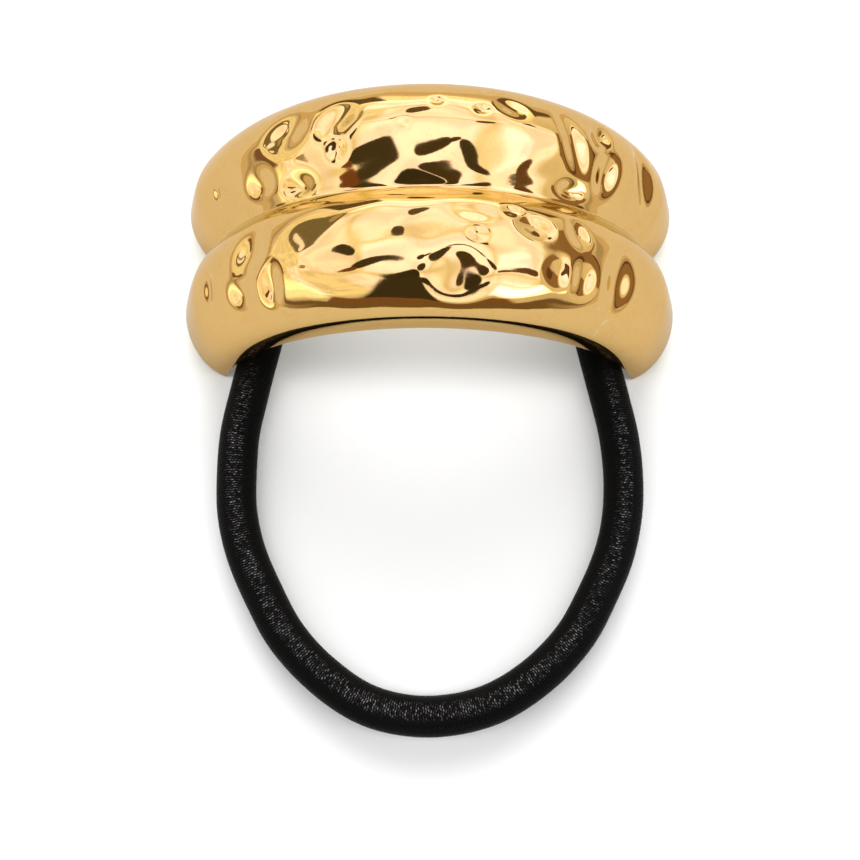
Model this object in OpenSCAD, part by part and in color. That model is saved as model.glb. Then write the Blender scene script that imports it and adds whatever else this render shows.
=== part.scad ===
// Ponytail cuff: a hollow-backed metal arch with two hammered ribs, and a round elastic loop.
// Millimetres. +X runs from foot to foot, +Y to the back rib, +Z up from the surface it lies on.
// The origin is on that surface, under the middle of the arch.

/* [Arch] */
// Clear width between the feet
gap_w = 46; // [38:0.5:56]
// Clear height under the crown
gap_h = 20.8; // [16:0.2:26]
// Angle from the crown to each foot, round the arc
foot_angle = 71.6; // [62:0.2:82]

/* [Ribs] */
// Width of the front rib, as if it stood alone
front_w = 13.8; // [11:0.2:18]
// Width of the back rib, as if it stood alone
back_w = 12.4; // [10:0.2:18]
// Height of the ribs over the inner face
rib_h = 5.5; // [4.4:0.1:8]
// Roundness of the ribs towards the front and the back, where 2 is an ellipse
face_round = 1.85; // [1.7:0.05:3]

/* [Groove] */
// Distance from each crest to the groove, as a share of the rib's half width
groove_part = 0.905; // [0.86:0.005:0.94]
// Height of the groove over the inner face at the feet
groove_h = 2.5; // [2.4:0.1:3.2]
// Height of the groove over the inner face at the crown
crown_groove_h = 3.5; // [2.8:0.1:4.2]
// How far the groove bends forwards at the crown
groove_bend = 0.4; // [0:0.05:0.4]
// Share of each side over which the groove changes from the crown to the foot
crown_share = 0.6; // [0.4:0.05:0.9]
// Roundness of both ribs towards the groove at the feet
groove_round = 2.1; // [1.7:0.05:3]
// Roundness of the front rib towards the groove at the crown
front_crown_round = 3.2; // [2:0.1:4]
// Roundness of the back rib towards the groove at the crown
back_crown_round = 1.4; // [1.3:0.1:3]

/* [Shell] */
// Thickness of the metal under the ribs
wall = 1.5; // [1.2:0.1:2]
// Width of the flat rim round the hollow back
rim_w = 1.5; // [1:0.1:2.5]
// Length of solid metal at each foot
foot_solid = 2.4; // [2:0.1:4]
// Length over which the end of a foot rounds off
foot_round = 2; // [1:0.1:3]
// Length over which a foot turns down to stand flat
foot_turn = 6; // [3:0.5:9]

/* [Hammering] */
// Depth of the deepest dent
dent_depth = 0.75; // [0:0.05:0.9]

/* [Elastic] */
// Diameter of the elastic
elastic_d = 4.4; // [4:0.1:4.8]

/* [Ferrule] */
// Length of the ferrule
ferrule_l = 8; // [5:0.5:10]
// Thickness of the wall of the ferrule
ferrule_wall = 0.7; // [0.5:0.1:1]
// Clearance between the elastic and the bore of the ferrule
bore_gap = 0.1; // [0.1:0.05:0.3]
// Clearance between the ferrule and the cuff
seat_gap = 0.25; // [0.2:0.05:0.5]

/* [Resolution] */
// Sections along the arch
along_n = 92; // [40:2:100]
// Points across each rib
across_n = 20; // [10:1:22]

/* [Hidden] */
eps = 0.01;

// The arch is a round arc of metal, stretched upwards to its clear height.
arc_r = gap_w / 2 / sin(foot_angle);
stretch = gap_h / (arc_r * (1 - cos(foot_angle)));
arc_len = arc_r * foot_angle * PI / 180;

// Places across the arch, from the front edge to the back edge.
front_half = front_w / 2;
back_half = back_w / 2;
cuff_w = (front_half + back_half) * (1 + groove_part);
front_y = -cuff_w / 2 + front_half;
groove_y = front_y + groove_part * front_half;
back_y = groove_y + groove_part * back_half;

// Height of one rib at y: top on its crest, low at the groove, and nothing at its outer edge.
function rib_height(y, crest_y, half, groove, top, low, groove_p) =
    let (towards = (y - crest_y) / (groove - crest_y), q = min(1, abs(y - crest_y) / half))
    towards > 0 ? top - (top - low) * pow(towards, groove_p)
                : top * pow(1 - pow(q, face_round), 1 / face_round);

// Share of the height left at a distance from the end of a foot, where it rounds off.
foot_land = 0.96;
foot_p = 2.5;
function end_share(left) =
    let (k = foot_land * max(0, 1 - left / foot_round))
    pow(1 - pow(k, foot_p), 1 / foot_p);
function hollow_share(left) =
    let (k = min(1, max(0, 1 - (left - foot_solid) / foot_round)))
    pow(1 - pow(k, foot_p), 1 / foot_p);
function smooth(t) =
    let (c = min(1, max(0, t)))
    c * c * (3 - 2 * c);

// Main dents, hammered into the tops of the ribs. on_back: 0 on the front rib, 1 on the back rib.
// along: share of the way from the crown to a foot, + to the right. across: degrees round the rib
// from its crest, + to the back. long, short: radii as shares of the rib's half width. turn:
// degrees from the length of the arch. deep: share of dent_depth.
dent_table = [
    // on_back, along, across, long, short, turn, deep
    [0, -0.71, -8, 0.38, 0.2, 85, 0.5],
    [0, -0.52, 7, 0.62, 0.5, 80, 0.85],
    [0, -0.56, -22, 0.44, 0.38, 0, 0.8],
    [0, -0.45, -24, 0.46, 0.3, 80, 0.7],
    [0, -0.17, -13, 0.8, 0.66, 0, 0.06],
    [0, 0.072, -27, 0.66, 0.62, 0, 0.6],
    [0, 0.12, 24, 0.64, 0.28, -4, 0.3],
    [0, 0.12, 5, 0.24, 0.2, 0, 0.2],
    [0, 0.215, 28, 0.28, 0.18, 0, 0.3],
    [0, 0.275, 17, 0.42, 0.28, -8, 0.5],
    [0, 0.41, 18, 0.36, 0.3, -60, 0.6],
    [0, 0.35, -19, 0.36, 0.32, 0, 0.4],
    [0, 0.43, -17, 0.44, 0.34, 90, 0.55],
    [0, 0.56, -11, 0.64, 0.44, 80, 1],
    [1, -0.7, -21, 0.2, 0.16, 80, 0.4],
    [1, -0.4, 4, 0.62, 0.5, 0, 0.9],
    [1, -0.25, 6, 0.56, 0.44, 35, 0.7],
    [1, -0.25, -20, 0.34, 0.28, 80, 0.4],
    [1, -0.51, -34, 0.46, 0.42, 0, 0.6],
    [1, -0.375, -48, 0.46, 0.4, 0, 0.6],
    [1, -0.02, -80, 0.75, 0.66, 0, 0.4],
    [1, 0.22, 18, 0.44, 0.3, -20, 0.4],
    [1, 0.4, -4, 0.8, 0.34, -65, 0.6],
    [1, 0.5, 13, 0.42, 0.36, 60, 0.9],
    [1, 0.525, -20, 0.56, 0.38, 80, 0.9],
    [1, 0.7, -6, 0.8, 0.38, -65, 1],
    [1, 0.41, -48, 0.46, 0.34, 0, 0.7],
    [1, 0.018, 18, 0.2, 0.14, 0, 0.3],
    [1, -0.07, -4, 0.2, 0.14, 0, 0.14],
    [1, 0.137, 12, 0.24, 0.16, 0, 0.3],
];

// Depth that one dent takes off the height at a place on its rib.
outer_len = arc_len * (arc_r + rib_h) / arc_r;
dent_p = 3;
function dent(d, along, across, half) =
    let (dx = (along - d[1]) * outer_len,
         dy = (across - d[2]) * PI / 180 * half,
         u = (dx * cos(d[5]) + dy * sin(d[5])) / (d[3] * half),
         v = (dy * cos(d[5]) - dx * sin(d[5])) / (d[4] * half),
         q = u * u + v * v)
    q >= 1 ? 0 : dent_depth * d[6] * pow(1 - q, dent_p);
function dents(on_back, along, y, crest_y, half) =
    let (across = asin(min(1, max(-1, (y - crest_y) / half))))
    norm([for (d = dent_table) if (d[0] == on_back) dent(d, along, across, half)]);

// A point of the arch at an angle from the crown, a height over the inner face, and a place across.
function place(angle, left, height, y) =
    let (rise = height * smooth(left / foot_turn))
    [(arc_r + height) * sin(angle), y,
     stretch * ((arc_r + rise) * cos(angle) - arc_r * cos(foot_angle))];

// Places across the outside, from the front edge over the groove to the back edge.
function outside(groove) =
    let (front_a = 90 + asin(min(1, (groove - front_y) / front_half)),
         back_a = 90 + asin(min(1, (back_y - groove) / back_half)))
    concat([for (i = [0:across_n - 1]) front_y + front_half * sin(front_a * i / across_n - 90)],
           [for (i = [across_n:-1:0]) back_y + back_half * sin(90 - back_a * i / across_n)]);

// A value that changes from the feet, where crown is 0, to the crown, where it is 1.
function mix(foot_value, crown_value, crown) = foot_value + (crown_value - foot_value) * crown;

// Height of the outside at y. The higher rib shows, so they meet in a sharp groove.
function outer_height(y, along, groove, crown) =
    let (low = mix(groove_h, crown_groove_h, crown),
         front_p = mix(groove_round, front_crown_round, crown),
         back_p = mix(groove_round, back_crown_round, crown))
    max(rib_height(y, front_y, front_half, groove, rib_h, low, front_p)
            - dents(0, along, y, front_y, front_half),
        rib_height(y, back_y, back_half, groove, rib_h, low, back_p)
            - dents(1, along, y, back_y, back_half));

// Points across the inside, from the back rim to the front rim: the place y and the height. The
// hollows follow the ribs a wall below, and the metal between them runs on under the groove.
inner_n = 6;
web_h = groove_h - wall;
inner_turn = 90 + asin(groove_part);
function inner_point(crest_y, half, side, i) =
    let (y = crest_y + side * half * sin(inner_turn * i / inner_n - 90),
         web_y = crest_y + side * half * groove_part)
    [y, rib_height(y, crest_y, half, web_y, rib_h - wall, web_h, groove_round)];
inside = concat([for (i = [0:inner_n]) inner_point(back_y, back_half - rim_w, -1, i)],
                [for (i = [inner_n:-1:0]) inner_point(front_y, front_half - rim_w, 1, i)]);

// Distances from the left foot, along the inner face, of the sections of the shell. They are
// closer where the feet round off.
cap_n = 5;
cap = [for (i = [cap_n:-1:1]) foot_round * (1 - sin(90 * i / cap_n))];
span = 2 * (arc_len - foot_round);
sections = concat(cap, [for (i = [0:along_n]) foot_round + span * i / along_n],
                  [for (i = [cap_n - 1:-1:0]) 2 * arc_len - cap[i]]);

// One closed section of the shell: its outside from front to back, then its inside back again.
function section(from_left) =
    let (along = from_left / arc_len - 1,
         angle = along * foot_angle,
         left = min(from_left, 2 * arc_len - from_left),
         crown = smooth((1 - abs(along)) / crown_share),
         groove = groove_y - groove_bend * crown)
    concat([for (y = outside(groove))
                place(angle, left, end_share(left) * outer_height(y, along, groove, crown), y)],
           [for (p = inside) place(angle, left, hollow_share(left) * p[1], p[0])]);

// The two flat feet are the ends of the shell: strips between the outside and the inside.
out_n = 2 * across_n + 1;
in_n = len(inside);
function across_from(j) = out_n + round((in_n - 1) * (1 - j / (out_n - 1)));
function end_faces(first) =
    [for (j = [0:out_n - 2])
        let (a = across_from(j), b = across_from(j + 1))
        for (f = a == b ? [[j, j + 1, a]] : [[j, j + 1, a], [j + 1, b, a]])
        [for (k = f) first + k]];
function flipped(faces) = [for (f = faces) [f[0], f[2], f[1]]];

module cuff() {
    m = out_n + in_n;
    n = len(sections);
    points = [for (s = sections) for (p = section(s)) p];
    sides = [for (i = [0:n - 2]) for (j = [0:m - 1])
        let (a = i * m + j, b = i * m + (j + 1) % m)
        for (f = [[a, b + m, a + m], [a, b, b + m]]) f];
    color("gold")
        polyhedron(points, concat(sides, flipped(end_faces(0)), end_faces((n - 1) * m)), convexity = 6);
}

// The ferrule hangs under the crown, just clear of the metal between the two hollows.
bore_d = elastic_d + 2 * bore_gap;
ferrule_d = bore_d + 2 * ferrule_wall;
web_r = arc_r + web_h;
web_angle = asin(ferrule_l / 2 / web_r);
web_z = stretch * (web_r * cos(web_angle) - arc_r * cos(foot_angle));
ferrule_z = web_z - seat_gap - ferrule_d / 2;

module ferrule() {
    color("goldenrod")
        translate([0, groove_y, ferrule_z])
            rotate([0, 90, 0])
                difference() {
                    cylinder(d = ferrule_d, h = ferrule_l, center = true, $fn = 48);
                    cylinder(d = bore_d, h = ferrule_l + 2 * eps, center = true, $fn = 48);
                }
}

// Route of the elastic, from the middle of the ferrule down the left side and round to the right.
route = [
    [-0.2, 0.7, 18.4], [-4.5, 0.7, 18.4], [-8.4, 0.4, 17.2], [-11.8, -0.7, 14.6], [-14.4, -2.5, 11.2],
    [-16.4, -4.8, 7.6], [-18, -7.8, 4.4], [-19.2, -11.4, 2.6], [-20.1, -15.2, 2.2], [-20.9, -19.4, 2.2],
    [-21.1, -23.8, 2.2], [-20.9, -28.2, 2.2], [-19.8, -32.6, 2.2], [-17.8, -37, 2.2], [-15.2, -41.5, 2.2],
    [-11.5, -45.4, 2.2], [-6.9, -48.5, 2.2], [-2.1, -49.8, 2.2], [2.8, -49.7, 2.2], [7.6, -48.3, 2.2],
    [12.2, -45.3, 2.2], [15.9, -41.4, 2.2], [18.4, -37, 2.2], [20.3, -32.6, 2.2], [21.3, -28.2, 2.2],
    [21.5, -23.8, 2.2], [21.1, -19.4, 2.2], [20.2, -15.2, 2.2], [19.2, -11.4, 2.6], [18, -7.8, 4.4],
    [16.4, -4.8, 7.6], [14.4, -2.5, 11.2], [11.8, -0.7, 14.6], [8.4, 0.4, 17.2], [4.5, 0.7, 18.4],
    [0.2, 0.7, 18.4],
];

// A ring of points round a route at one of its points, square to the route.
function ring(route, i, radius, sides) =
    let (d = route[min(i + 1, len(route) - 1)] - route[max(i - 1, 0)],
         t = d / norm(d),
         level = cross(t, [0, 0, 1]),
         a = level / norm(level),
         b = cross(t, a))
    [for (k = [0:sides - 1])
        route[i] + radius * (cos(360 * k / sides) * a + sin(360 * k / sides) * b)];

module elastic() {
    sides = 12;
    n = len(route);
    points = [for (i = [0:n - 1]) for (p = ring(route, i, elastic_d / 2, sides)) p];
    walls = [for (i = [0:n - 2]) for (k = [0:sides - 1])
        let (a = i * sides + k, b = i * sides + (k + 1) % sides)
        for (f = [[a, b + sides, b], [a, a + sides, b + sides]]) f];
    first_end = [for (k = [0:sides - 1]) k];
    last_end = [for (k = [sides - 1:-1:0]) (n - 1) * sides + k];
    color([0.02, 0.02, 0.02])
        polyhedron(points, concat(walls, [first_end, last_end]), convexity = 6);
}

cuff();
ferrule();
elastic();
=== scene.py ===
import math

import bpy
import numpy as np
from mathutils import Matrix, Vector


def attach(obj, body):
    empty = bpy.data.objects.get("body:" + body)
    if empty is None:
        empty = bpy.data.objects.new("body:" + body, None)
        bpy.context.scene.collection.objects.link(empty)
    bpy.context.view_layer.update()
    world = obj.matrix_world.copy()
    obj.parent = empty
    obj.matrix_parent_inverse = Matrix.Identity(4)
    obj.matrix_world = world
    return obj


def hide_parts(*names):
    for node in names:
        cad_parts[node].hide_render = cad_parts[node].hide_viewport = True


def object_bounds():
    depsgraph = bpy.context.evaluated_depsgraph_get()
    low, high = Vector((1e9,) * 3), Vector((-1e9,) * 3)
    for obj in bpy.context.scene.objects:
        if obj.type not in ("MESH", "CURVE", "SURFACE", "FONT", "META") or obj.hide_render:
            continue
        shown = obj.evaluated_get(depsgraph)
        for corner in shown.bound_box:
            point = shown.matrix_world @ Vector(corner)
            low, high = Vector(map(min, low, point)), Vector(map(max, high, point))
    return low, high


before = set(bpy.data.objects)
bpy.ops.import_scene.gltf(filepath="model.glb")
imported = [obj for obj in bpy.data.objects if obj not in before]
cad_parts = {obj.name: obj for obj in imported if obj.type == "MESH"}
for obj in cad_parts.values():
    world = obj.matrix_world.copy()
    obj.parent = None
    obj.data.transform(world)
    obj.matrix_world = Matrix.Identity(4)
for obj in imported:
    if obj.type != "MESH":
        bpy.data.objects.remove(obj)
cadLow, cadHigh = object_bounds()
print("frame loaded:", ", ".join(sorted(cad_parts)))

# Camera, above and a little in front, as the photo was taken
cameraSet = {
    "target": (0.000166, -0.018468, 0.0),  # on the surface, in the middle of the picture
    "distance": 0.138775,
    "elevation": 79.016,  # degrees above the surface
    "turn": 0.403,        # degrees round the upright axis
    "lens": 51.45, "sensor": 36,  # mm
    "clip": (0.01, 10),
}


def addCamera(values):
    data = bpy.data.cameras.new("camera")
    data.lens = values["lens"]
    data.sensor_width = values["sensor"]
    data.clip_start, data.clip_end = values["clip"]
    camera = bpy.data.objects.new("camera", data)
    bpy.context.scene.collection.objects.link(camera)
    tilt = math.radians(90 - values["elevation"])
    turn = math.radians(values["turn"])
    back = Vector((math.sin(turn) * math.sin(tilt), -math.cos(turn) * math.sin(tilt), math.cos(tilt)))
    camera.location = Vector(values["target"]) + back * values["distance"]
    camera.rotation_euler = (tilt, 0, turn)
    bpy.context.scene.camera = camera


addCamera(cameraSet)


# Mesh helpers
def meshPiece(name, points, faces, sharpAngle=None):
    mesh = bpy.data.meshes.new(name)
    mesh.from_pydata(points.tolist(), [], faces)
    mesh.validate()
    mesh.shade_smooth()
    if sharpAngle is not None:
        mesh.set_sharp_from_angle(angle=math.radians(sharpAngle))
    piece = bpy.data.objects.new(name, mesh)
    bpy.context.scene.collection.objects.link(piece)
    return piece


def tubeFaces(rings, sides, start=0):
    # quads between rings of points that close on themselves
    i, j = np.meshgrid(np.arange(rings - 1), np.arange(sides), indexing="ij")
    a = start + i * sides + j
    b = start + i * sides + (j + 1) % sides
    return np.stack([a, b, b + sides, a + sides], -1).reshape(-1, 4).tolist()


def smoothStep(t):
    t = np.clip(t, 0, 1)
    return t * t * (3 - 2 * t)


# Elastic: a wound, thread-covered loop that leaves one end of the ferrule and comes back into the other
elasticSize = {
    "diameter": 0.0044,
    "length": 0.162,
    "exit": (-0.004, 0.0007, 0.0184),  # mouth of the ferrule
    "ringStep": 0.000075,  # distance between rings of the mesh
    "sides": 44,
    "curveSteps": 60,      # steps of the curve between two points of the route
    "pathEvery": 12,       # rings from one point of the stated path to the next
    "stitchLong": 0.00027,  # length of a stitch of the cover along the loop
    "stitchHeight": 0.00005, "stitchCurve": 0.6,
    "waver": 0.00002,      # slow unevenness of the winding
    "waverWaves": ((410, 0), (953, 1.7)),  # radians per metre, phase
}
elasticRoute = [
    (-0.0002, 0.0007, 0.0184), (-0.0045, 0.0007, 0.0184), (-0.0084, 0.0004, 0.0172),
    (-0.0118, -0.0007, 0.0146), (-0.0144, -0.0025, 0.0112), (-0.0164, -0.0048, 0.0076),
    (-0.018, -0.0078, 0.0044), (-0.0192, -0.0114, 0.0026), (-0.0201, -0.0152, 0.0022),
    (-0.0209, -0.0194, 0.0022), (-0.0211, -0.0238, 0.0022), (-0.0209, -0.0282, 0.0022),
    (-0.0198, -0.0326, 0.0022), (-0.0178, -0.037, 0.0022), (-0.0152, -0.0415, 0.0022),
    (-0.0115, -0.0454, 0.0022), (-0.0069, -0.0485, 0.0022), (-0.0021, -0.0498, 0.0022),
    (0.0028, -0.0497, 0.0022), (0.0076, -0.0483, 0.0022), (0.0122, -0.0453, 0.0022),
    (0.0159, -0.0414, 0.0022), (0.0184, -0.037, 0.0022), (0.0203, -0.0326, 0.0022),
    (0.0213, -0.0282, 0.0022), (0.0215, -0.0238, 0.0022), (0.0211, -0.0194, 0.0022),
    (0.0202, -0.0152, 0.0022), (0.0192, -0.0114, 0.0026), (0.018, -0.0078, 0.0044),
    (0.0164, -0.0048, 0.0076), (0.0144, -0.0025, 0.0112), (0.0118, -0.0007, 0.0146),
    (0.0084, 0.0004, 0.0172), (0.0045, 0.0007, 0.0184), (0.0002, 0.0007, 0.0184),
]


def smoothRoute(route, step, curveSteps):
    # points a step apart on a smooth curve through the route's points
    p = np.array(route)
    p = np.vstack([2 * p[0] - p[1], p, 2 * p[-1] - p[-2]])
    t = np.linspace(0, 1, curveSteps, endpoint=False)[:, None]
    runs = []
    for k in range(1, len(p) - 2):
        a, b, c, d = p[k - 1], p[k], p[k + 1], p[k + 2]
        runs.append(b + 0.5 * t * (c - a + t * (2 * a - 5 * b + 4 * c - d + t * (3 * b - a - 3 * c + d))))
    line = np.vstack(runs + [p[-2:-1]])
    far = np.concatenate([[0], np.cumsum(np.linalg.norm(np.diff(line, axis=0), axis=1))])
    count = int(far[-1] / step) + 1
    places = np.linspace(0, far[-1], count)
    return np.stack([np.interp(places, far, line[:, k]) for k in range(3)], -1), places


def makeElastic(size, route):
    centres, places = smoothRoute(route, size["ringStep"], size["curveSteps"])
    along = np.gradient(centres, axis=0)
    along /= np.linalg.norm(along, axis=1)[:, None]
    level = np.cross(along, (0, 0, 1))
    level /= np.linalg.norm(level, axis=1)[:, None]
    upright = np.cross(level, along)
    turns = np.arange(size["sides"]) / size["sides"]
    s, t = np.meshgrid(places / size["stitchLong"], turns, indexing="ij")
    # rows of stitches stand a little proud between the courses
    row = np.abs(np.sin(np.pi * s)) ** size["stitchCurve"]
    waver = sum(np.sin(places * number + phase) for number, phase in size["waverWaves"]) / 2
    slow = size["waver"] * (0.5 + waver[:, None] * 0.5)
    radius = size["diameter"] / 2 - size["stitchHeight"] * (1 - row) - slow
    angle = 2 * np.pi * t
    rings = (centres[:, None] + radius[..., None] * (np.cos(angle)[..., None] * level[:, None]
             + np.sin(angle)[..., None] * upright[:, None]))
    count, sides = len(centres), size["sides"]
    faces = tubeFaces(count, sides)
    faces += [list(range(sides - 1, -1, -1)), list(range((count - 1) * sides, count * sides))]
    piece = meshPiece("elastic_loop", rings.reshape(-1, 3), faces)
    # U counts the courses of stitches along the loop, V goes once round it
    cover = piece.data.uv_layers.new(name="cover")
    corners = np.zeros(len(piece.data.loops), dtype=int)
    piece.data.loops.foreach_get("vertex_index", corners)
    onSeam = (np.arange(len(corners)) % 4 % 3 > 0) & (corners % sides == 0)
    flat = np.stack([places[corners // sides] / size["stitchLong"], corners % sides / sides + onSeam], -1)
    cover.data.foreach_set("uv", flat.astype(np.float32).ravel())
    return piece, centres[::size["pathEvery"]]


elastic, elasticPath = makeElastic(elasticSize, elasticRoute)
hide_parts("elastic")
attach(elastic, "root")
print("elastic made:", len(elastic.data.polygons), "faces")

# Cuff: the arch with two hammered ribs, hollow inside
cuffSize = {
    "gapWidth": 0.046, "gapHeight": 0.0208, "footAngle": 71.6,
    "frontWidth": 0.0138, "backWidth": 0.0124, "ribHeight": 0.0055,
    "groovePlace": 0.905,  # distance from a crest to the groove, as a share of the rib's half width
    "grooveHeight": 0.0025, "crownGroove": 0.0035,  # height of the groove at the feet and at the crown
    "grooveBend": 0.0004,  # how far the groove comes forwards at the crown
    "faceRound": 1.85,     # roundness towards the faces
    "grooveRound": 2.1,    # roundness towards the groove, at the feet
    "crownRounds": (3.2, 1.4),  # the same on each rib at the crown
    "crownShare": 0.6,     # share of each side over which the crown's groove changes to the foot's
    "grooveFillet": 0.0002, "crownFillet": 0.0003,
    "wall": 0.0015, "rimWidth": 0.0015, "rimRound": 0.00022,
    "footSolid": 0.0024, "footRound": 0.002, "footTurn": 0.006,
    "footLand": 0.96, "footCurve": 2.5,  # share of the rounding before the flat land, and its curve
    "dentDepth": 0.00075, "dentBlend": 2, "dentPower": 3,
    "hammeredAlong": 0.7, "hammeredAcross": 60,  # where the ripples end
    "fadeAlong": 0.25, "fadeAcross": 25,
    "along": 450, "across": 84, "inside": 12, "footSteps": 12,  # steps of the mesh
    "sharpAngle": 55,      # degrees between faces that make an edge
}
# along: share of the way from the crown to a foot, across: degrees round the rib from its crest,
# long, short: radii as shares of the rib's half width, turn: degrees, deep: share of the depth
frontDents = [
    # along, across, long, short, turn, deep
    (-0.71, -8, 0.38, 0.2, 85, 0.5),
    (-0.52, 7, 0.62, 0.5, 80, 0.85),
    (-0.56, -22, 0.44, 0.38, 0, 0.8),
    (-0.45, -24, 0.46, 0.3, 80, 0.7),
    (-0.17, -13, 0.8, 0.66, 0, 0.06),
    (0.072, -27, 0.66, 0.62, 0, 0.6),
    (0.12, 24, 0.64, 0.28, -4, 0.3),
    (0.12, 5, 0.24, 0.2, 0, 0.2),
    (0.215, 28, 0.28, 0.18, 0, 0.3),
    (0.275, 17, 0.42, 0.28, -8, 0.5),
    (0.41, 18, 0.36, 0.3, -60, 0.6),
    (0.35, -19, 0.36, 0.32, 0, 0.4),
    (0.43, -17, 0.44, 0.34, 90, 0.55),
    (0.56, -11, 0.64, 0.44, 80, 1),
]
backDents = [
    (-0.7, -21, 0.2, 0.16, 80, 0.4),
    (-0.4, 4, 0.62, 0.5, 0, 0.9),
    (-0.25, 6, 0.56, 0.44, 35, 0.7),
    (-0.25, -20, 0.34, 0.28, 80, 0.4),
    (-0.51, -34, 0.46, 0.42, 0, 0.6),
    (-0.375, -48, 0.46, 0.4, 0, 0.6),
    (-0.02, -80, 0.75, 0.66, 0, 0.4),
    (0.22, 18, 0.44, 0.3, -20, 0.4),
    (0.4, -4, 0.8, 0.34, -65, 0.6),
    (0.5, 13, 0.42, 0.36, 60, 0.9),
    (0.525, -20, 0.56, 0.38, 80, 0.9),
    (0.7, -6, 0.8, 0.38, -65, 1),
    (0.41, -48, 0.46, 0.34, 0, 0.7),
    (0.018, 18, 0.2, 0.14, 0, 0.3),
    (-0.07, -4, 0.2, 0.14, 0, 0.14),
    (0.137, 12, 0.24, 0.16, 0, 0.3),
]
# wave length, turn in degrees, phase, height
frontRipples = [(0.0052, 25, 0.4, 0.00002), (0.0043, -50, 2.1, 0.00002), (0.0065, 85, 1, 0.00002)]
backRipples = [(0.0056, 15, 2, 0.00002), (0.0046, -60, 0.6, 0.00002), (0.0069, 75, 2.8, 0.00002)]


def ribHeight(y, crest, half, groove, top, low, grooveRound, faceRound):
    # height of one rib at y: top on its crest, low at the groove, and nothing at its outer edge
    towards = (y - crest) / (groove - crest)
    grooveSide = top - (top - low) * np.maximum(towards, 0) ** grooveRound
    q = np.minimum(np.abs(y - crest) / half, 1)
    return np.where(towards > 0, grooveSide, top * (1 - q ** faceRound) ** (1 / faceRound))


def dentsDepth(rows, along, across, half, outerLength, size):
    # how far the dents of one rib go down at each place
    total = np.zeros(np.broadcast(along, across).shape)
    for atAlong, atAcross, long, short, turn, deep in rows:
        dx = (along - atAlong) * outerLength
        dy = np.radians(across - atAcross) * half
        c, s = math.cos(math.radians(turn)), math.sin(math.radians(turn))
        q = ((dx * c + dy * s) / (long * half)) ** 2 + ((dy * c - dx * s) / (short * half)) ** 2
        dent = size["dentDepth"] * deep * np.clip(1 - q, 0, None) ** size["dentPower"]
        total += dent ** size["dentBlend"]
    return total ** (1 / size["dentBlend"])


def ripples(rows, along, across, half, outerLength, size):
    # slow unevenness left between the dents, which fades out towards the smooth ends and faces
    x, y = along * outerLength, np.radians(across) * half
    total = 0
    for length, turn, phase, height in rows:
        c, s = math.cos(math.radians(turn)), math.sin(math.radians(turn))
        total = total + height * np.sin(2 * np.pi * (x * c + y * s) / length + phase)
    inner = smoothStep((size["hammeredAlong"] - np.abs(along)) / size["fadeAlong"])
    return total * inner * smoothStep((size["hammeredAcross"] - np.abs(across)) / size["fadeAcross"])


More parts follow.
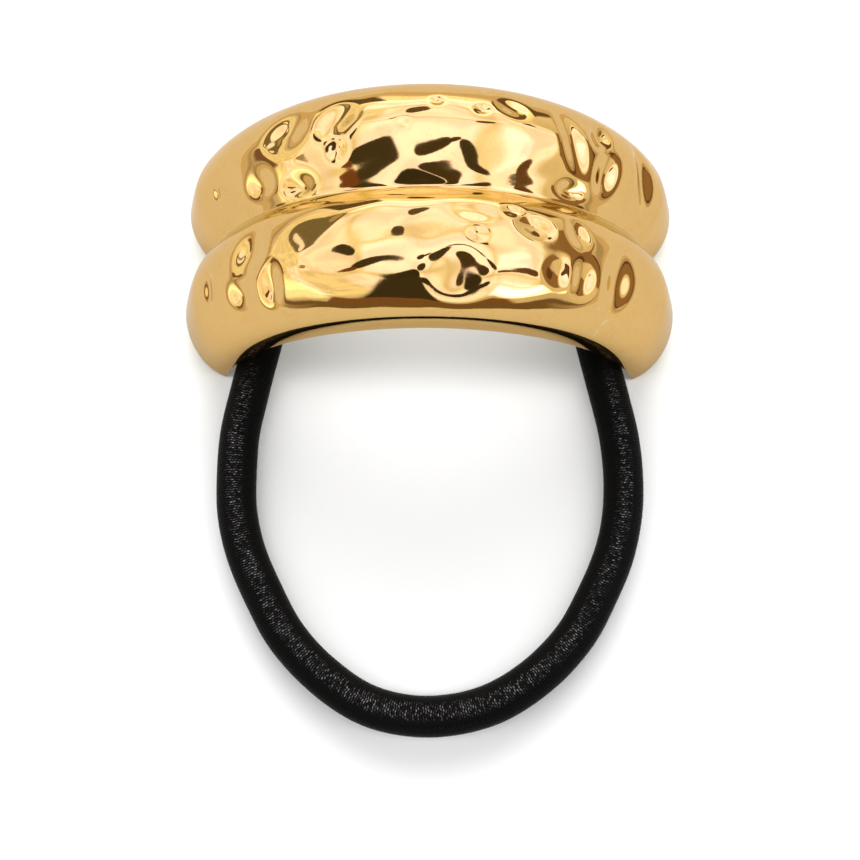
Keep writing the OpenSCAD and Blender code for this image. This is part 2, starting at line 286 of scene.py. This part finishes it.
def makeCuff(size):
    foot = math.radians(size["footAngle"])
    arc = size["gapWidth"] / 2 / math.sin(foot)
    stretch = size["gapHeight"] / (arc * (1 - math.cos(foot)))
    arcLength = arc * foot
    outerLength = arcLength * (arc + size["ribHeight"]) / arc
    frontHalf, backHalf = size["frontWidth"] / 2, size["backWidth"] / 2
    rib, wall, rim, place = size["ribHeight"], size["wall"], size["rimWidth"], size["groovePlace"]
    frontY = -(frontHalf + backHalf) * (1 + place) / 2 + frontHalf
    backY = frontY + place * (frontHalf + backHalf)
    grooveY = frontY + place * frontHalf

    # along the arch, from the left foot to the right, closer where the feet round off
    capSteps = size["footRound"] * (1 - np.sin(np.radians(np.linspace(90, 0, size["footSteps"]))))
    middle = np.linspace(size["footRound"], 2 * arcLength - size["footRound"], size["along"])
    fromLeft = np.concatenate([capSteps[:-1], middle, (2 * arcLength - capSteps[:-1])[::-1]])
    along = (fromLeft / arcLength - 1)[:, None]
    left = np.minimum(fromLeft, 2 * arcLength - fromLeft)[:, None]
    curve = size["footCurve"]
    rounding = size["footLand"] * np.clip(1 - left / size["footRound"], 0, 1)
    endShare = (1 - rounding ** curve) ** (1 / curve)
    rounding = np.clip(1 - (left - size["footSolid"]) / size["footRound"], 0, 1)
    hollowShare = (1 - rounding ** curve) ** (1 / curve)

    # the groove is shallower at the crown, with a squarer side on the front rib and a flatter one on the back
    crown = smoothStep((1 - np.abs(along)) / size["crownShare"])
    low = size["grooveHeight"] + (size["crownGroove"] - size["grooveHeight"]) * crown
    groove = grooveY - size["grooveBend"] * crown
    rounds = [size["grooveRound"] + (more - size["grooveRound"]) * crown for more in size["crownRounds"]]

    # across the outside, from the front edge over both ribs to the back edge
    t = np.linspace(0, 1, size["across"] + 1)
    frontSteps = -90 + (90 + np.degrees(np.arcsin((groove - frontY) / frontHalf))) * t[:-1]
    backSteps = 90 - (90 + np.degrees(np.arcsin((backY - groove) / backHalf))) * t[::-1]
    outY = np.concatenate([frontY + frontHalf * np.sin(np.radians(frontSteps)),
                           backY + backHalf * np.sin(np.radians(backSteps))], 1)
    heights = []
    for rows, waves, crest, half, grooveRound in ((frontDents, frontRipples, frontY, frontHalf, rounds[0]),
                                                  (backDents, backRipples, backY, backHalf, rounds[1])):
        across = np.degrees(np.arcsin(np.clip((outY - crest) / half, -1, 1)))
        heights.append(ribHeight(outY, crest, half, groove, rib, low, grooveRound, size["faceRound"])
                       - dentsDepth(rows, along, across, half, outerLength, size)
                       - ripples(waves, along, across, half, outerLength, size))
    front, back = heights
    fillet = size["grooveFillet"] + (size["crownFillet"] - size["grooveFillet"]) * crown
    outHeights = endShare * (front + back + np.sqrt((front - back) ** 2 + fillet ** 2)) / 2
    under = np.clip(size["rimRound"] - outHeights, 0, size["rimRound"])
    outYs = outY - np.sign(outY) * (size["rimRound"] - np.sqrt(size["rimRound"] ** 2 - under ** 2))

    # across the inside, from the back rim to the front rim
    web = size["grooveHeight"] - wall
    turns = np.radians(np.linspace(90, -math.degrees(math.asin(place)), size["inside"] + 1))
    inBackY = backY + (backHalf - rim) * np.sin(turns)
    inFrontY = frontY - (frontHalf - rim) * np.sin(turns[::-1])
    rounds = size["grooveRound"], size["faceRound"]
    inBack = ribHeight(inBackY, backY, backHalf - rim, inBackY[-1], rib - wall, web, *rounds)
    inFront = ribHeight(inFrontY, frontY, frontHalf - rim, inFrontY[0], rib - wall, web, *rounds)
    inY = np.concatenate([inBackY, inFrontY])
    inHeights = hollowShare * np.concatenate([inBack, inFront])

    def put(heights, y):
        angle = along * foot
        rise = heights * smoothStep(left / size["footTurn"])
        return np.stack(np.broadcast_arrays((arc + heights) * np.sin(angle), y,
                        stretch * ((arc + rise) * np.cos(angle) - arc * math.cos(foot))), -1)

    sections = np.concatenate([put(outHeights, outYs), put(inHeights, inY)], 1)
    count, around = sections.shape[:2]
    inCount = len(inY)
    outCount = around - inCount

    def endFaces(first, flip):
        faces = []
        for j in range(outCount - 1):
            a = outCount + round((inCount - 1) * (1 - j / (outCount - 1)))
            b = outCount + round((inCount - 1) * (1 - (j + 1) / (outCount - 1)))
            face = [j, j + 1, a] if a == b else [j, j + 1, b, a]
            face = [first + k for k in face]
            faces.append(face[::-1] if flip else face)
        return faces

    faces = tubeFaces(count, around) + endFaces(0, False) + endFaces((count - 1) * around, True)
    return meshPiece("cuff_shell", sections.reshape(-1, 3), faces, size["sharpAngle"])


cuff = makeCuff(cuffSize)
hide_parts("cuff")
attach(cuff, "root")
print("cuff made:", len(cuff.data.polygons), "faces")


# Shader helpers
def newMaterial(name):
    material = bpy.data.materials.new(name)
    material.use_nodes = True
    make = Maker(material.node_tree)
    return material, make, make.nodes["Principled BSDF"]


def putMaterial(piece, material):
    piece.data.materials.clear()
    piece.data.materials.append(material)


class Maker:
    # makes nodes in one tree, and returns the socket that each gives
    def __init__(self, tree):
        self.nodes, self.links = tree.nodes, tree.links

    def put(self, value, socket):
        if isinstance(value, bpy.types.NodeSocket):
            self.links.new(value, socket)
        else:
            socket.default_value = value

    def calc(self, kind, *values):
        node = self.nodes.new("ShaderNodeMath")
        node.operation = kind
        for value, socket in zip(values, node.inputs):
            self.put(value, socket)
        return node.outputs[0]

    def soft(self, value, low, high):
        # from 0 to 1 between low and high, or from 1 to 0 where low is the larger
        node = self.nodes.new("ShaderNodeMapRange")
        node.interpolation_type = "SMOOTHSTEP"
        self.put(value, node.inputs["Value"])
        for name, number in zip(("From Min", "From Max"), sorted((low, high))):
            node.inputs[name].default_value = number
        node.inputs["To Min"].default_value = 0 if low < high else 1
        node.inputs["To Max"].default_value = 1 if low < high else 0
        return node.outputs[0]

    def both(self, *masks):
        result = masks[0]
        for mask in masks[1:]:
            result = self.calc("MULTIPLY", result, mask)
        return result

    def vector(self, kind, first, second):
        node = self.nodes.new("ShaderNodeVectorMath")
        node.operation = kind
        self.put(first, node.inputs[0])
        self.put(second, node.inputs["Scale" if kind == "SCALE" else 1])
        return node.outputs["Value" if kind == "DOT_PRODUCT" else "Vector"]

    def mix(self, mask, below, above):
        node = self.nodes.new("ShaderNodeMix")
        node.data_type = "RGBA"
        self.put(mask, node.inputs[0])
        for value, socket in ((below, node.inputs[6]), (above, node.inputs[7])):
            self.put(value if isinstance(value, bpy.types.NodeSocket) else (*value, 1), socket)
        return node.outputs[2]

    def noise(self, place, scale, detail=2):
        node = self.nodes.new("ShaderNodeTexNoise")
        self.put(place, node.inputs["Vector"])
        self.put(scale, node.inputs["Scale"])
        node.inputs["Detail"].default_value = detail
        return node.outputs["Fac"]

    def bump(self, height, distance):
        node = self.nodes.new("ShaderNodeBump")
        self.put(height, node.inputs["Height"])
        node.inputs["Distance"].default_value = distance
        return node.outputs[0]

    def use(self, group, **values):
        node = self.nodes.new("ShaderNodeGroup")
        node.node_tree = group
        for name, value in values.items():
            self.put(value, node.inputs[name])
        return node.outputs


def newGroup(name, inputs, outputs):
    group = bpy.data.node_groups.new(name, "ShaderNodeTree")
    for title in inputs:
        group.interface.new_socket(title, in_out="INPUT", socket_type="NodeSocketFloat")
    for title in outputs:
        group.interface.new_socket(title, in_out="OUTPUT", socket_type="NodeSocketFloat")
    start, end = group.nodes.new("NodeGroupInput"), group.nodes.new("NodeGroupOutput")
    return group, Maker(group), start.outputs, end.inputs


# Metal: the surface that the cuff and the ferrule share
metalSurface = {
    "broadShare": 0.22,          # scale of the broad blotches, as a share of the fine grain's
    "broadEdges": (0.42, 0.62), "fineEdges": (0.38, 0.62),
    "wearEdges": (0.8, 2.2),     # how sharp an edge starts to wear and is fully worn
    "patchScale": 900, "patchEdges": (0.3, 0.6),  # patches of wear along the edges
}


def makeGrainGroup(values):
    # fine unevenness of polished metal, and the broad blotches of its tone
    group, make, given, result = newGroup("metalGrain", ["Size"], ["Height", "Blotch"])
    place = make.nodes.new("ShaderNodeTexCoord").outputs["Object"]
    fine = make.calc("DIVIDE", 1, given["Size"])
    make.put(make.noise(place, fine, detail=3), result["Height"])
    broad = make.noise(place, make.calc("MULTIPLY", fine, values["broadShare"]), detail=4)
    broadMask = make.soft(broad, *values["broadEdges"])
    fineMask = make.soft(make.noise(place, fine), *values["fineEdges"])
    make.put(make.both(broadMask, fineMask), result["Blotch"])
    return group


def makeWearGroup(values):
    # 1 on edges and ridges that rub, broken up along them
    group, make, given, result = newGroup("edgeWear", ["Sharp"], ["Worn"])
    point = make.nodes.new("ShaderNodeNewGeometry").outputs["Pointiness"]
    place = make.nodes.new("ShaderNodeTexCoord").outputs["Object"]
    edge = make.calc("MULTIPLY", make.calc("SUBTRACT", point, 0.5), given["Sharp"])
    patches = make.soft(make.noise(place, values["patchScale"]), *values["patchEdges"])
    make.put(make.both(make.soft(edge, *values["wearEdges"]), patches), result["Worn"])
    return group


grainGroup, wearGroup = makeGrainGroup(metalSurface), makeWearGroup(metalSurface)

goldFinish = {
    "colour": (0.8, 0.51, 0.18),
    "paintedReflectionGold": (0.8, 0.7, 0.34),  # painted reflection: a paler gold where the metal is seen in the metal
    "blotchColour": (0.7, 0.38, 0.1), "blotchShare": 0.25,
    "wornColour": (0.84, 0.6, 0.28), "wearSharp": 7,
    "edgeTint": (0.93, 0.84, 0.72, 1),
    "roughness": 0.045, "blotchRoughness": 0.05, "wornRoughness": 0.05,
    "grainSize": 0.0004, "grainHeight": 0.0000012,
}
ferruleFinish = goldFinish | {
    "colour": (0.72, 0.5, 0.24), "roughness": 0.16, "blotchShare": 0.4,
    "grainSize": 0.0003, "grainHeight": 0.000006,
}


def makeGold(name, values):
    material, make, shader = newMaterial(name)
    seen = make.nodes.new("ShaderNodeLightPath").outputs["Is Camera Ray"]
    grain = make.use(grainGroup, Size=values["grainSize"])
    worn = make.use(wearGroup, Sharp=values["wearSharp"])["Worn"]
    blotch = make.calc("MULTIPLY", grain["Blotch"], values["blotchShare"])
    # painted reflection: rays that do not come from the camera, as where the metal mirrors itself, see the
    # paler gold
    goldWithPaintedReflection = make.mix(seen, values["paintedReflectionGold"], values["colour"])
    colour = make.mix(blotch, goldWithPaintedReflection, values["blotchColour"])
    make.put(make.mix(worn, colour, values["wornColour"]), shader.inputs["Base Color"])
    rough = make.calc("MULTIPLY_ADD", blotch, values["blotchRoughness"], values["roughness"])
    make.put(make.calc("MULTIPLY_ADD", worn, values["wornRoughness"], rough), shader.inputs["Roughness"])
    make.put(make.bump(grain["Height"], values["grainHeight"]), shader.inputs["Normal"])
    shader.inputs["Metallic"].default_value = 1
    shader.inputs["Specular Tint"].default_value = values["edgeTint"]
    return material


putMaterial(cuff, makeGold("polishedGold", goldFinish))
putMaterial(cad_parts["ferrule"], makeGold("softGold", ferruleFinish))

threadFinish = {
    "colour": (0.002, 0.002, 0.002), "fuzzColour": (0.006, 0.0055, 0.005),
    "courseSway": 0.4, "swaysRound": 17, "looseScale": 1400,  # how the courses sway round the loop
    "stitchesRound": 38, "stitchShift": 0.37,  # stitches once round, and the shift from course to course
    "courseCurve": 0.7, "stitchPart": 0.4,  # shape of a course, and how far the stitches cut into it
    "height": 0.00005,
    "roughness": 0.34, "shine": 0.03, "glint": 2.1, "glintTint": (1, 0.97, 0.8, 1),
    "glintRare": 2.2, "glintRow": (0.55, 1), "glintStitch": (0.2, 0.8),  # which stitches shine, and where
    # painted highlight: stitches that face this direction, within this half angle, are given their glints
    "glintFrom": (0, 0.28, 1), "glintHalf": 32,
}


def makeCoverGroup(values):
    # courses of thread that sway round the loop, cut into stitches, a few of which shine
    group, make, _, result = newGroup("threadCover", [], ["Height", "Stitch", "Shine"])
    split = make.nodes.new("ShaderNodeSeparateXYZ")
    cover = make.nodes.new("ShaderNodeUVMap")
    cover.uv_map = "cover"
    make.links.new(cover.outputs[0], split.inputs[0])
    along, about = split.outputs[:2]
    place = make.nodes.new("ShaderNodeTexCoord").outputs["Object"]
    sway = make.calc("PINGPONG", make.calc("MULTIPLY", about, 2 * values["swaysRound"]), 1)
    loose = make.noise(place, values["looseScale"])
    sway = make.calc("MULTIPLY", make.calc("ADD", sway, loose), values["courseSway"])
    course = make.calc("ADD", along, sway)
    row = make.calc("ABSOLUTE", make.calc("SINE", make.calc("MULTIPLY", course, math.pi)))
    number = make.calc("FLOOR", course)
    shift = make.calc("MULTIPLY", number, values["stitchShift"])
    shifted = make.calc("MULTIPLY_ADD", about, values["stitchesRound"], shift)
    across = make.calc("FRACT", shifted)
    stitch = make.both(across, make.calc("SUBTRACT", 1, across), 4)  # 1 in the middle of a stitch
    cell = make.nodes.new("ShaderNodeCombineXYZ")
    make.put(number, cell.inputs[0])
    make.put(make.calc("FLOOR", shifted), cell.inputs[1])
    random = make.nodes.new("ShaderNodeTexWhiteNoise")
    make.links.new(cell.outputs[0], random.inputs["Vector"])
    picked = make.calc("POWER", random.outputs["Value"], values["glintRare"])
    cut = make.calc("MULTIPLY_ADD", stitch, values["stitchPart"], 1 - values["stitchPart"])
    make.put(make.both(make.calc("POWER", row, values["courseCurve"]), cut), result["Height"])
    make.put(make.both(row, stitch), result["Stitch"])
    shining = make.both(make.soft(row, *values["glintRow"]), make.soft(stitch, *values["glintStitch"]))
    make.put(make.both(shining, picked), result["Shine"])
    return group


def makeThread(values):
    material, make, shader = newMaterial("blackThread")
    cover = make.use(makeCoverGroup(values))
    normal = make.nodes.new("ShaderNodeNewGeometry").outputs["Normal"]
    # painted highlight: a band of glints where the thread faces a fixed direction, up and a little back
    facing = make.vector("DOT_PRODUCT", normal, Vector(values["glintFrom"]).normalized())
    paintedGlintBand = make.soft(facing, math.cos(math.radians(values["glintHalf"])), 1)
    make.put(make.mix(cover["Stitch"], values["colour"], values["fuzzColour"]), shader.inputs["Base Color"])
    shader.inputs["Roughness"].default_value = values["roughness"]
    shine = make.calc("MULTIPLY_ADD", make.both(cover["Shine"], paintedGlintBand), values["glint"], values["shine"])
    make.put(shine, shader.inputs["Specular IOR Level"])
    shader.inputs["Specular Tint"].default_value = values["glintTint"]
    make.put(make.bump(cover["Height"], values["height"]), shader.inputs["Normal"])
    return material


putMaterial(elastic, makeThread(threadFinish))
print("materials made")

# Floor and studio
studio = {
    "floorSize": 0.32, "floorDrop": 0.00002,  # the floor lies a hair under the part
    "floorPale": 0.98, "floorPaintedShadeInGold": 0.64,  # how pale the floor is in the picture, and the darker painted shade it has where seen in the metal
    "floorRoughness": 0.9, "floorShine": 0.1,
    # light on matt surfaces: even, a strip overhead from side to side, and low from behind, under the arch
    "evenGlow": 0.15,
    "stripGlow": 4.2, "stripHalf": 0.25, "stripUp": (0, 0.4),
    "lowGlow": 7.6, "lowHalf": 44, "lowLean": (0, 1, 0.3),
    # the soft box, in tangents from straight up. In front it reaches further to the right
    "boxSides": (-8, 1.9), "boxEnds": (-4.2, 5), "boxFront": (-1.4, 2.8),
    "boxGlow": (1.16, 1.16, 1), "boxSideEdge": 0.1, "boxEndEdge": 0.3,
    "panelTint": (1, 1, 2.8), "panelEdge": 0.09,
    "cloud": 0.12, "cloudScale": 1.7, "cloudEdges": (0.36, 0.64),
    # the walls, brighter at the back and a little darker low down
    "wallGlow": 0.84, "wallTint": (1, 0.97, 0.86),
    "backGlow": 0.15, "backFrom": (0.2, 0.9), "lowWallShade": 0.08, "lowWallUp": (24, 3),
    "wallChange": 0.15, "wavesAcross": (6, 2), "wavesUp": (5, -4, 1),
    # light from a window behind, in degrees
    "windowHalf": 32, "windowUp": 16, "windowEdges": (8, 3), "windowGlow": 0.7,
    "lampEdge": (1, 0.3), "flagEdge": 0.15, "thingEdges": (1.5, 1),
    # the line where the walls meet the floor, the floor below it, and the dark edge of the table in front
    "horizonGlow": (0.2, 0.14, 0.08), "horizonUp": 1.8, "horizonEdge": 0.6,
    "horizonFront": (75, 45), "horizonFrontShare": 0.55,
    "belowGlow": (0.8, 0.7, 0.54), "belowUp": (-0.5, -2.5),
    "tableEdgeGlow": (0.2, 0.14, 0.07), "tableEdgeHalf": 46, "tableEdgeFade": 12,
    "tableEdgeUp": (-7, -0.5), "tableEdgeSoft": 0.8,
}
# low lamps in front: turn from the front and half width, height and half height, in degrees, glow
studioLamps = [(42, 22, 15, 8, 3.2), (-56, 24, 8, 6, 0.9)]
# brighter panels of the soft box: from and to across, from and to back, added glow
studioPanels = [
    (-2.4, -0.8, -0.8, 1.3, 0.3), (-0.66, 0.5, -0.9, 0.3, 0.55), (-0.66, 0.5, 0.42, 1.6, 0.45),
    (0.62, 1.8, -0.9, 1.4, 0.4), (-1.2, 1.4, -3.6, -1.06, 0.35), (-1.2, 1.4, 1.8, 4.5, 0.6),
    (0.7, 1.25, -0.6, 0, 0.35), (1.3, 2.6, -4.2, -1.5, 0.5), (-4, -2.6, -4.2, -0.3, 0.3),
]
# dark arms and clamps under the soft box, and one bright gap: place across and back, half lengths, turn, glow
studioFlags = [
    (-2.1, 1.5, 0.9, 0.75, 25, (0.24, 0.22, 0.15)),
    (-1.66, 1.75, 0.26, 0.4, 0, (0.55, 0.46, 0.32)),
    (-2.3, 1, 0.2, 0.2, 0, (1.4, 1.4, 1.8)),
    (-0.9, 0.08, 0.13, 0.2, 0, (0.06, 0.05, 0.03)),
    (-0.33, 0.39, 0.13, 0.06, -20, (0.11, 0.09, 0.055)),
    (-0.12, 1.12, 0.11, 0.34, 0, (0.12, 0.1, 0.06)),
    (-0.66, -0.5, 0.38, 0.15, 33, (0.07, 0.06, 0.035)),
    (-0.22, -1.16, 0.31, 0.38, 0, (0.05, 0.045, 0.025)),
    (0.12, -0.73, 0.19, 0.17, 0, (0.08, 0.06, 0.03)),
    (0.32, -1.5, 0.25, 0.22, 0, (0.05, 0.045, 0.025)),
    (0.01, -0.31, 0.13, 0.09, 0, (0.08, 0.06, 0.03)),
    (0.47, -0.5, 0.27, 0.09, -42, (0.07, 0.06, 0.035)),
    (0.16, -0.29, 0.12, 0.04, 0, (0.08, 0.06, 0.03)),
    (0.5, 0.24, 0.08, 0.1, 0, (0.09, 0.07, 0.045)),
    (1.28, -0.68, 0.24, 0.14, 0, (0.16, 0.09, 0.04)),
    (1.5, 1.15, 0.16, 0.2, 0, (0.12, 0.08, 0.04)),
    (-1.02, -0.74, 0.2, 0.1, 15, (0.22, 0.09, 0.03)),
    (0.95, -0.8, 0.2, 0.07, 0, (0.14, 0.12, 0.08)),
    (-2.07, -0.49, 0.3, 0.14, 0, (0.5, 0.42, 0.3)),
]
# dark things round the table: turn from the front and half width, from and to upwards, in degrees, glow
studioThings = [
    (-9, 16, 9, 38, (0.06, 0.05, 0.03)),
    (-3, 30, -1, 9.5, (0.24, 0.13, 0.06)),
    (92, 13, 3, 11, (0.16, 0.08, 0.05)),
    (-92, 12, 3, 10, (0.24, 0.15, 0.1)),
    (98, 21, 8, 25, (0.34, 0.22, 0.12)),
    (152, 9, -2, 12, (0.16, 0.11, 0.07)),
    (-156, 9, -4, 13, (0.13, 0.1, 0.06)),
]


def makeFloor(values):
    half = values["floorSize"] / 2
    y = cadLow[1] / 2  # half way out to the far end of the loop
    z = -values["floorDrop"]
    points = np.array([(-half, y - half, z), (half, y - half, z), (half, y + half, z), (-half, y + half, z)])
    floor = meshPiece("floor", points, [[0, 1, 2, 3]])
    material, make, shader = newMaterial("paleFloor")
    # painted shade: rays that do not come from the camera, as where the floor is seen in the metal, see it
    # darker
    path = make.nodes.new("ShaderNodeLightPath")
    paleAndPaintedShade = make.nodes.new("ShaderNodeMapRange")
    make.put(path.outputs["Is Camera Ray"], paleAndPaintedShade.inputs["Value"])
    paleAndPaintedShade.inputs["To Min"].default_value = values["floorPaintedShadeInGold"]
    paleAndPaintedShade.inputs["To Max"].default_value = values["floorPale"]
    make.put(paleAndPaintedShade.outputs[0], shader.inputs["Base Color"])
    shader.inputs["Roughness"].default_value = values["floorRoughness"]
    shader.inputs["Specular IOR Level"].default_value = values["floorShine"]
    putMaterial(floor, material)


makeFloor(studio)


def makeWorld(values):
    world = bpy.data.worlds.new("studio")
    bpy.context.scene.world = world
    world.use_nodes = True
    make = Maker(world.node_tree)
    nodes, links = make.nodes, make.links
    nodes.clear()
    calc, soft, both, vector, mix = make.calc, make.soft, make.both, make.vector, make.mix

    def between(value, low, high, edge):
        return both(soft(value, low - edge, low + edge), soft(value, high + edge, high - edge))

    def squares(a, b):
        return calc("ADD", both(a, a), both(b, b))

    direction = nodes.new("ShaderNodeTexCoord")
    split = nodes.new("ShaderNodeSeparateXYZ")
    links.new(direction.outputs["Generated"], split.inputs[0])
    x, y, z = split.outputs
    up = calc("MAXIMUM", z, 0.02)  # so that u and v end at the horizon
    u, v = calc("DIVIDE", x, up), calc("DIVIDE", y, up)
    rise = calc("DEGREES", calc("ARCSINE", z))
    turn = calc("DEGREES", calc("ARCTAN2", x, calc("MULTIPLY", y, -1)))

    # walls, the soft box with its panels, and lamps in front
    wall = calc("MULTIPLY_ADD", soft(y, *values["backFrom"]), values["backGlow"], values["wallGlow"])
    wall = calc("MULTIPLY_ADD", soft(rise, *values["lowWallUp"]), -values["lowWallShade"], wall)
    byX, byY = values["wavesAcross"]
    wavesAcross = calc("SINE", calc("MULTIPLY_ADD", x, byX, calc("MULTIPLY", y, byY)))
    byY, byZ, phase = values["wavesUp"]
    wavesUp = calc("SINE", calc("MULTIPLY_ADD", y, byY, calc("MULTIPLY_ADD", z, byZ, phase)))
    wall = calc("MULTIPLY_ADD", both(wavesAcross, wavesUp), values["wallChange"], wall)
    leftU, rightU = values["boxSides"]
    frontV, backV = values["boxEnds"]
    wideV, wideU = values["boxFront"]
    sideEdge, endEdge, panelEdge = values["boxSideEdge"], values["boxEndEdge"], values["panelEdge"]
    box = calc("MAXIMUM", both(between(u, leftU, rightU, sideEdge), between(v, frontV, backV, endEdge)),
               both(between(u, leftU, wideU, sideEdge), between(v, frontV, wideV, endEdge)))
    panels = 0
    for fromU, toU, fromV, toV, glow in studioPanels:
        mask = both(between(u, fromU, toU, panelEdge), between(v, fromV, toV, panelEdge))
        panels = calc("MULTIPLY_ADD", mask, glow, panels)
    place = nodes.new("ShaderNodeCombineXYZ")
    make.put(u, place.inputs[0])
    make.put(v, place.inputs[1])
    cloud = soft(make.noise(place.outputs[0], values["cloudScale"], detail=1), *values["cloudEdges"])
    cloud = calc("MULTIPLY_ADD", cloud, 2 * values["cloud"], 1 - values["cloud"])
    boxLight = vector("ADD", vector("SCALE", values["panelTint"], panels), values["boxGlow"])
    boxLight = vector("SCALE", boxLight, cloud)
    sky = mix(box, vector("SCALE", values["wallTint"], wall), boxLight)
    side, top = 180 - values["windowHalf"], values["windowUp"]
    sideEdge, topEdge = values["windowEdges"]
    aside = calc("ABSOLUTE", turn)
    window = both(soft(aside, side - sideEdge, side + sideEdge), soft(rise, top + topEdge, top - topEdge))
    lights = both(window, values["windowGlow"])
    for middle, half, height, halfHeight, glow in studioLamps:
        size = squares(calc("DIVIDE", calc("SUBTRACT", turn, middle), half),
                       calc("DIVIDE", calc("SUBTRACT", rise, height), halfHeight))
        lights = calc("MULTIPLY_ADD", soft(size, *values["lampEdge"]), glow, lights)
    sky = vector("ADD", sky, vector("SCALE", (1, 1, 1), lights))

    # dark things in front of them
    for atU, atV, halfU, halfV, turned, colour in studioFlags:
        c, s = math.cos(math.radians(turned)), math.sin(math.radians(turned))
        du, dv = calc("SUBTRACT", u, atU), calc("SUBTRACT", v, atV)
        size = squares(calc("MULTIPLY_ADD", du, c / halfU, calc("MULTIPLY", dv, s / halfU)),
                       calc("MULTIPLY_ADD", dv, c / halfV, calc("MULTIPLY", du, -s / halfV)))
        sky = mix(soft(size, 1 + values["flagEdge"], 1 - values["flagEdge"]), sky, colour)
    sideEdge, topEdge = values["thingEdges"]
    for middle, half, low, high, colour in studioThings:
        off = calc("ABSOLUTE", calc("SUBTRACT", turn, middle))
        thing = both(soft(off, half + sideEdge, half - sideEdge), between(rise, low, high, topEdge))
        sky = mix(thing, sky, colour)
    level, edge, share = values["horizonUp"], values["horizonEdge"], values["horizonFrontShare"]
    line = both(soft(rise, level + edge, level - edge),
                calc("MULTIPLY_ADD", soft(aside, *values["horizonFront"]), share, 1 - share))
    sky = mix(line, sky, values["horizonGlow"])
    sky = mix(soft(rise, *values["belowUp"]), sky, values["belowGlow"])
    half, fade = values["tableEdgeHalf"], values["tableEdgeFade"]
    inFront = soft(aside, half + fade, half - fade)
    tableEdge = both(inFront, between(rise, *values["tableEdgeUp"], values["tableEdgeSoft"]))
    sky = mix(tableEdge, sky, values["tableEdgeGlow"])

    # what the matt surfaces get
    strip = both(soft(calc("ABSOLUTE", y), values["stripHalf"], 0), soft(z, *values["stripUp"]))
    even = calc("MULTIPLY_ADD", strip, values["stripGlow"], values["evenGlow"])
    leaning = vector("DOT_PRODUCT", direction.outputs["Generated"], Vector(values["lowLean"]).normalized())
    low = soft(leaning, math.cos(math.radians(values["lowHalf"])), 1)
    even = calc("MULTIPLY_ADD", low, values["lowGlow"], even)

    path = nodes.new("ShaderNodeLightPath")
    backgrounds = []
    for value, socket in ((sky, "Color"), (even, "Strength"), (1, "Strength")):
        background = nodes.new("ShaderNodeBackground")
        background.inputs["Color"].default_value = (1, 1, 1, 1)
        make.put(value, background.inputs[socket])
        backgrounds.append(background.outputs[0])
    under = backgrounds[1]
    for ray, light in (("Is Glossy Ray", backgrounds[0]), ("Is Camera Ray", backgrounds[2])):
        mixer = nodes.new("ShaderNodeMixShader")
        links.new(path.outputs[ray], mixer.inputs[0])
        links.new(under, mixer.inputs[1])
        links.new(light, mixer.inputs[2])
        under = mixer.outputs[0]
    output = nodes.new("ShaderNodeOutputWorld")
    links.new(under, output.inputs["Surface"])


makeWorld(studio)
print("floor and studio made")
bpy.context.scene.view_settings.view_transform = "Standard"
